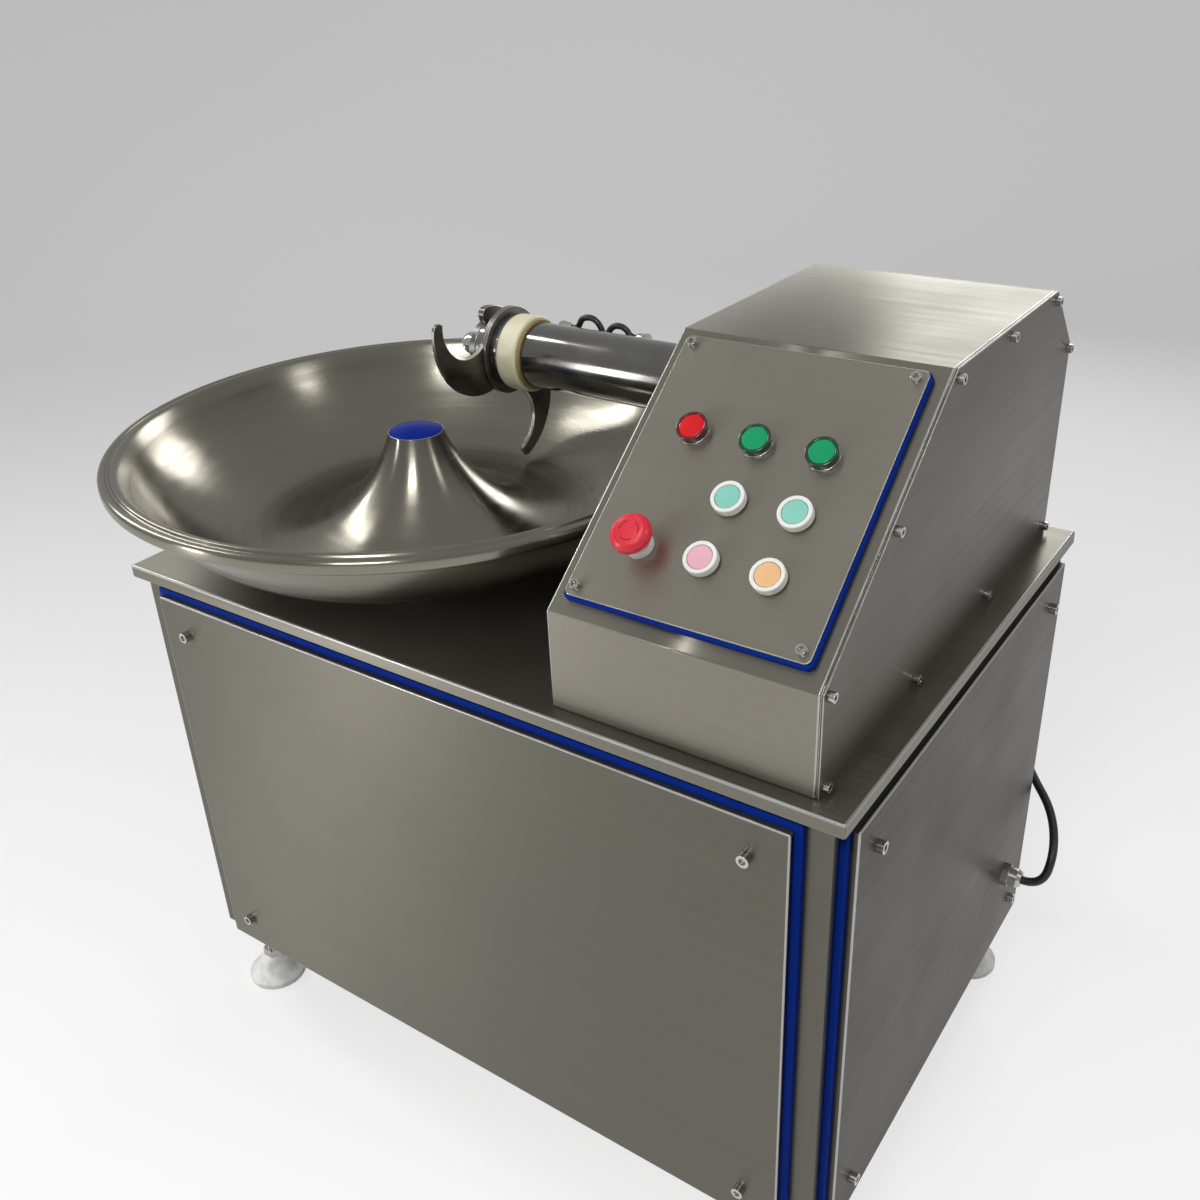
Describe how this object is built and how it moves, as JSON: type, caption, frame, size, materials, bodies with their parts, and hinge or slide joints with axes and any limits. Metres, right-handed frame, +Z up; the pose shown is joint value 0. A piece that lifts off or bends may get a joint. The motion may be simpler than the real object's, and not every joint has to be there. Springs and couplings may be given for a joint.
{
  "type": "meat bowl cutter",
  "caption": "Stainless steel bowl cutter: a spun bowl turns under sickle knives on a belt-driven shaft, beside a sloped control housing, on a panelled cabinet with levelling feet.",
  "frame": {"origin": "middle of the machine's outline on the floor, without the free side lead", "axes": "+X along the long front towards the control housing, +Y from the front to the back, +Z up"},
  "size_m": [1.1176, 0.8265, 0.9886],
  "materials": {
    "steel": "satin brushed sheet",
    "bowl_steel": "spun and circular brushed",
    "polished": "polished stainless steel",
    "blade": "ground knife steel",
    "frame_steel": "mill finish",
    "gasket": "blue silicone",
    "blue": "glossy blue",
    "ivory": "ivory nylon",
    "tan": "tan seal",
    "white": "white",
    "pad": "white nylon",
    "teal": "pale green",
    "pink": "pale pink",
    "orange": "pale orange",
    "red": "red",
    "red_lens": "red lens",
    "green_lens": "green lens",
    "bezel": "black",
    "black": "black",
    "lead": "black sheath",
    "gland": "nickel plated",
    "motor": "grey blue paint",
    "iron": "grey iron",
    "belt": "belt rubber",
    "shaft": "turned steel"
  },
  "bodies": {
    "machine": {"table_top": "steel", "corner_posts": "frame_steel", "frame_rails": "frame_steel", "base_plate": "frame_steel", "front_panel": "steel", "rear_panel": "steel", "left_panel": "steel", "right_panel": "steel", "panel_gaskets": "gasket", "panel_screws": "polished", "foot_pads": "pad", "foot_stems": "polished", "bowl_bearing_housing": "iron", "bowl_gearbox": "motor", "bowl_motor": "motor", "nylon_ring": "ivory", "shaft_seal": "tan", "shaft_housing_tube": "polished", "shaft_bearings": "shaft", "bearing_pedestal": "iron", "drive_belts": "belt", "knife_motor": "motor", "control_housing": "steel", "housing_side_plate": "steel", "control_plate": "steel", "control_gasket": "gasket", "cover_screws": "polished", "button_collars": "white", "lamp_bezels": "bezel", "lamp_lens_red": "red_lens", "lamp_lenses_green": "green_lens", "estop_collar": "white", "contact_blocks": "black", "cable_glands": "gland", "side_lead": "lead", "rail_lead": "lead", "sensor_rail": "steel", "electrical_plate": "black"},
    "bowl_unit": {"bowl": "bowl_steel", "bowl_cap": "blue", "bowl_carrier": "frame_steel", "bowl_shaft": "shaft"},
    "knife_head": {"knife_shaft": "shaft", "clamp_discs": "polished", "knife_a": "blade", "knife_b": "blade", "knife_counterweight": "blade", "dome_nut": "polished", "knife_pulley": "iron"},
    "motor_rotor": {"motor_shaft": "shaft", "motor_pulley": "iron"},
    "push_teal_left": {"button_teal_left": "teal"},
    "push_teal_right": {"button_teal_right": "teal"},
    "push_pink": {"button_pink": "pink"},
    "push_orange": {"button_orange": "orange"},
    "stop_stem": {"estop_stem": "red"},
    "stop_head": {"estop_head": "red"}
  },
  "joints": [
    {"name": "bowl_spin", "type": "hinge", "parent": "machine", "child": "bowl_unit", "pos_m": [-0.1755, -0.025, 0.76], "axis": [0, 0, 1], "continuous": true},
    {"name": "knife_spin", "type": "hinge", "parent": "machine", "child": "knife_head", "pos_m": [-0.1755, 0.161, 0.862], "axis": [1, 0, 0], "continuous": true},
    {"name": "motor_spin", "type": "hinge", "parent": "machine", "child": "motor_rotor", "pos_m": [0.3085, 0.161, 0.302], "axis": [1, 0, 0], "continuous": true},
    {"name": "press_teal_left", "type": "slide", "parent": "machine", "child": "push_teal_left", "axis": [0, 0.6293, -0.7771], "range_m": [0, 0.004], "stiffness_N_per_m": 500, "springref_m": -0.002},
    {"name": "press_teal_right", "type": "slide", "parent": "machine", "child": "push_teal_right", "axis": [0, 0.6293, -0.7771], "range_m": [0, 0.004], "stiffness_N_per_m": 500, "springref_m": -0.002},
    {"name": "press_pink", "type": "slide", "parent": "machine", "child": "push_pink", "axis": [0, 0.6293, -0.7771], "range_m": [0, 0.004], "stiffness_N_per_m": 500, "springref_m": -0.002},
    {"name": "press_orange", "type": "slide", "parent": "machine", "child": "push_orange", "axis": [0, 0.6293, -0.7771], "range_m": [0, 0.004], "stiffness_N_per_m": 500, "springref_m": -0.002},
    {"name": "stop_push", "type": "slide", "parent": "machine", "child": "stop_stem", "axis": [0, 0.6293, -0.7771], "range_m": [0, 0.005]},
    {"name": "stop_twist", "type": "hinge", "parent": "stop_stem", "child": "stop_head", "pos_m": [0.2715, -0.22365, 0.86042], "axis": [0, 0.6293, -0.7771], "range_deg": [0, 45], "stiffness_Nm_per_rad": 0.05, "springref_deg": -17.19}
  ],
  "couplings": [
    {"joint": "motor_spin", "follows": "knife_spin", "ratio": 0.78571}
  ]
}
